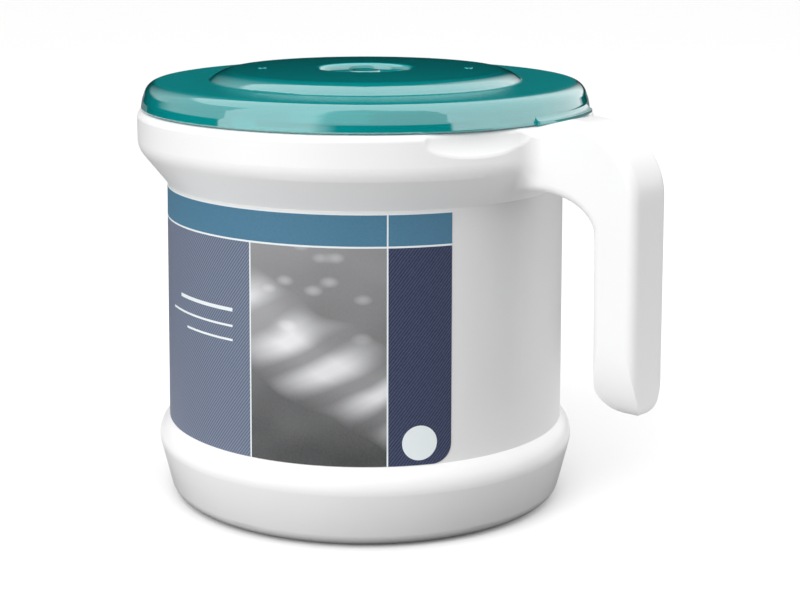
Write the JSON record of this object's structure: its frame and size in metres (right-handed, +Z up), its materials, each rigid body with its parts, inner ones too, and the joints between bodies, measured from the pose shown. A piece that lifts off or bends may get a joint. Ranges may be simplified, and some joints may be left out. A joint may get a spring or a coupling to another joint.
{
  "type": "centrefeed roll dispenser",
  "caption": "Round free-standing centrefeed roll dispenser with a hooked carrying handle, a lift-off lid and a cone-shaped paper nozzle in the lid's well.",
  "frame": {"origin": "on the drum's axis, at the level of the surface that the dispenser stands on", "axes": "+Z up along the drum's axis and the nozzle, +X towards the handle, +Y to the left of the handle seen from outside"},
  "size_m": [0.2929, 0.2328, 0.222],
  "materials": {
    "body_white": "semi-gloss moulded ABS",
    "lid_teal": "translucent, glossy",
    "nozzle_teal": "semi-gloss",
    "throat_soft": "matt, soft",
    "clip_white": "satin",
    "label_print": "printed film, satin",
    "grip_grey": "matt, soft"
  },
  "bodies": {
    "body": {"base_tray": "body_white", "grip_ring": "grip_grey", "drum_wall": "body_white", "drum_label": "label_print", "upper_body": "body_white", "handle_cover": "body_white"},
    "lid": {"lid_shell": "lid_teal"},
    "nozzle": {"nozzle_cone": "nozzle_teal", "nozzle_clip": "clip_white", "throat_ring": "throat_soft"}
  },
  "joints": [
    {"name": "lid_lift", "type": "slide", "parent": "body", "child": "lid", "axis": [0, 0, 1], "range_m": [0, 0.25]},
    {"name": "nozzle_swivel", "type": "hinge", "parent": "lid", "child": "nozzle", "pos_m": [0, 0, 0.2], "axis": [0, 0, 1], "continuous": true}
  ]
}
